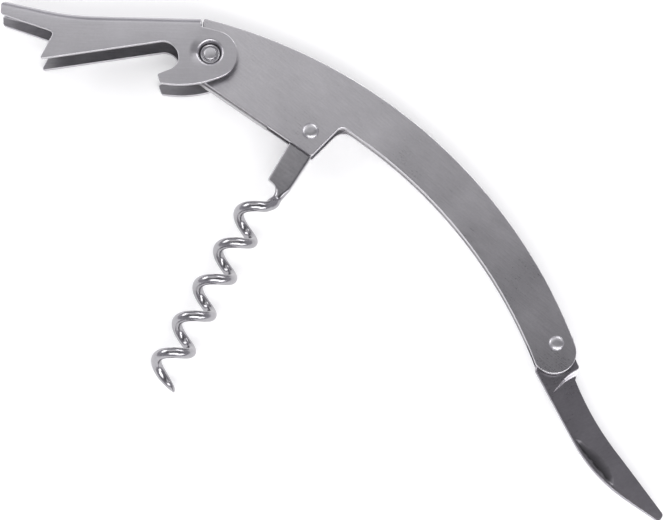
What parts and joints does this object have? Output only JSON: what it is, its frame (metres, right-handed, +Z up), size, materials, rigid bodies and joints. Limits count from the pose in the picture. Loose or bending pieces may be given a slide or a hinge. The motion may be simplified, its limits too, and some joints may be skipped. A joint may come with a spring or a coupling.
{
  "type": "waiters corkscrew",
  "caption": "Folding corkscrew with a curved two-plate handle, a channel-section boot lever with a cap lifter, a wire worm and a short foil knife, all on pivots.",
  "frame": {"origin": "centre of the footprint of the open corkscrew lying on its side, at the surface that it lies on", "axes": "+Z is up out of that surface and through the handle's thickness, along every pivot; +X runs along the handle from the lever's pivot to the knife's; +Y points from the worm's point towards the handle's back"},
  "size_m": [0.1868, 0.0814, 0.011],
  "materials": {
    "handle_plates": "fine brushed along the handle",
    "strips": "satin",
    "dowels": "satin",
    "lever_sheet": "satin with brighter folded edges",
    "rivets": "polished head",
    "worm_wire": "polished wire",
    "blade_steel": "darker satin"
  },
  "bodies": {
    "handle": {"front_plate": "handle_plates", "back_plate": "handle_plates", "spacer_bar": "strips", "back_spring": "strips", "spring_dowels": "dowels", "lever_rivet": "rivets", "worm_rivet": "rivets", "knife_rivet": "rivets", "knife_washers": "dowels"},
    "lever": {"lever": "lever_sheet"},
    "worm": {"worm": "worm_wire"},
    "knife": {"knife_blade": "blade_steel"}
  },
  "joints": [
    {"name": "lever_fold", "type": "hinge", "parent": "handle", "child": "lever", "pos_m": [-0.05068, 0.02264, 0.0055], "axis": [0, 0, 1], "range_deg": [0, 145]},
    {"name": "worm_fold", "type": "hinge", "parent": "handle", "child": "worm", "pos_m": [-0.02228, 0.02404, 0.0055], "axis": [0, 0, 1], "range_deg": [0, 71.1]},
    {"name": "knife_fold", "type": "hinge", "parent": "handle", "child": "knife", "pos_m": [0.05072, 0.02264, 0.0055], "axis": [0, 0, 1], "range_deg": [0, 184]}
  ],
  "couplings": [
    {"joint": "worm_fold", "follows": "lever_fold", "ratio": 0.49}
  ]
}
